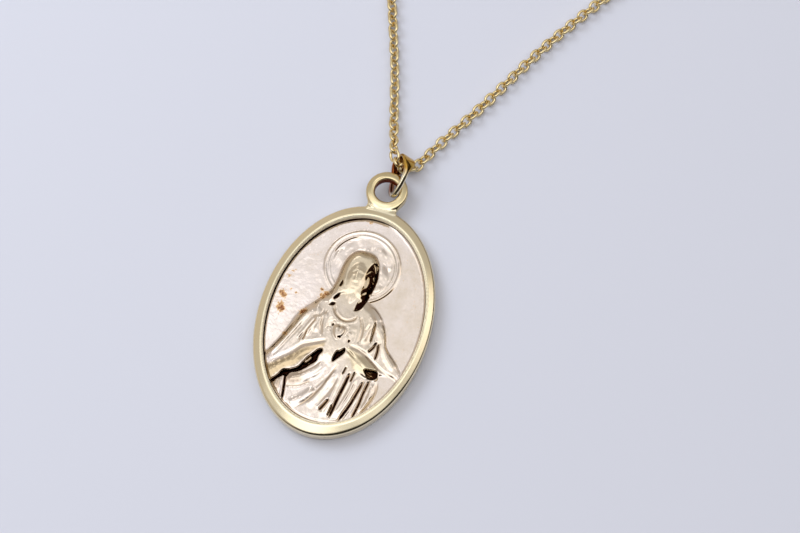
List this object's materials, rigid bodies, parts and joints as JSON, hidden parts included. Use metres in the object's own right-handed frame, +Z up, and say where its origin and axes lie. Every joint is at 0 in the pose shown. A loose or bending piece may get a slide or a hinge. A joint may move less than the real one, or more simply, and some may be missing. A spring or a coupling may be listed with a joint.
{
  "type": "oval medal necklace",
  "caption": "Oval relief medal with a cast eye, hung by a tapered bail on a fine cable chain that lies as a closed loop with a round clasp at its far end.",
  "frame": {"origin": "middle of the medal's flat back, on the surface that the necklace lies on", "axes": "+Z up out of the medal's face, +Y from the medal's foot to its eye and on along the loop of the chain, +X to the right"},
  "size_m": [0.1105, 0.2136, 0.0034],
  "materials": {
    "frame_gold": "polished yellow gold plate",
    "plate_rose_gold": "struck relief in pale rose gold plate, lightly worn",
    "bail_gold": "polished deep yellow gold plate",
    "chain_gold": "polished yellow gold plate",
    "clasp_gold": "polished yellow gold plate"
  },
  "bodies": {
    "root": {"medal_frame": "frame_gold", "medal_plate": "plate_rose_gold", "bail": "bail_gold", "chain": "chain_gold", "clasp": "clasp_gold"}
  },
  "joints": []
}
